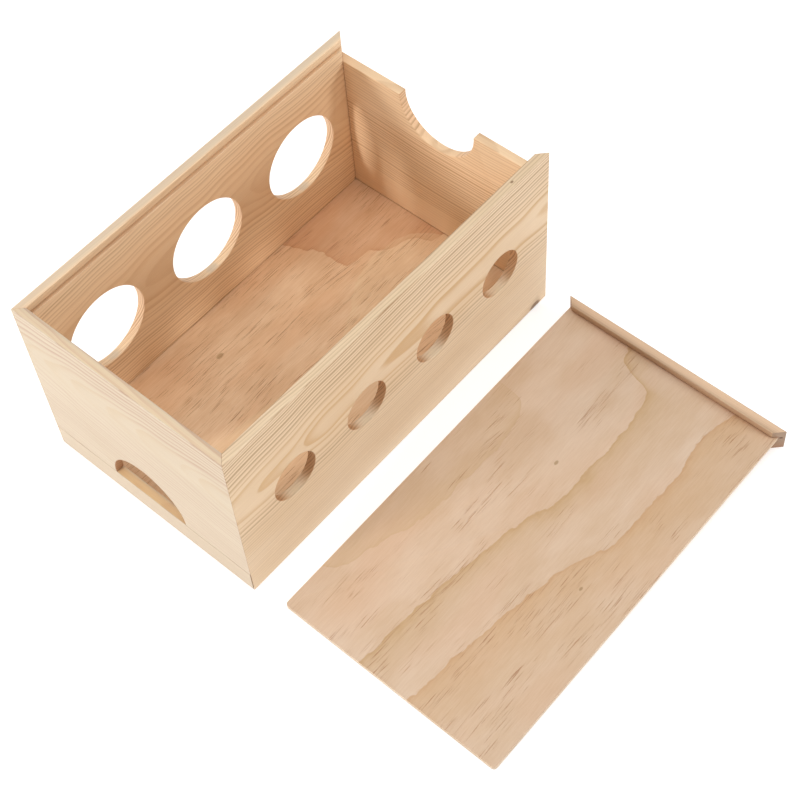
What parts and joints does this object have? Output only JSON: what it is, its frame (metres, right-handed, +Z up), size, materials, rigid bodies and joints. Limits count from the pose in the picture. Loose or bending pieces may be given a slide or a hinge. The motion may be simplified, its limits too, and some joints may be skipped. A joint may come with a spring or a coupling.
{
  "type": "sliding-lid wooden box with round side openings",
  "caption": "Mitred pine box with round openings in its long sides, finger notches in its ends, a sliding plywood floor and a sliding plywood lid lying beside it.",
  "frame": {"origin": "on the resting plane, at the centre of the footprint that the box and the lid lying beside it cover together", "axes": "+Z up; X along the box's length, +X to the far end where the lid is drawn out, -X to the near end where the floor is drawn out; +Y from the lid lying beside the box towards the box"},
  "size_m": [0.3, 0.3786, 0.15],
  "materials": {
    "pine_pale": "sanded, unfinished",
    "pine_warm": "sanded, unfinished",
    "ply_face": "sanded, unfinished",
    "ply_core": "raw veneer edge"
  },
  "bodies": {
    "box": {"left_wall": "pine_warm", "right_wall": "pine_pale", "near_end_wall": "pine_pale", "far_end_wall": "pine_warm"},
    "lid": {"lid_rail": "pine_pale", "lid_face_veneer": "ply_face", "lid_core": "ply_core", "lid_back_veneer": "ply_face"},
    "floor": {"floor_rail": "pine_pale", "floor_face_veneer": "ply_face", "floor_core": "ply_core", "floor_back_veneer": "ply_face"}
  },
  "joints": [
    {"name": "lid_slide", "type": "slide", "parent": "box", "child": "lid", "axis": [1, 0, 0], "range_m": [0, 0.296]},
    {"name": "floor_slide", "type": "slide", "parent": "box", "child": "floor", "axis": [-1, 0, 0], "range_m": [0, 0.296]}
  ]
}
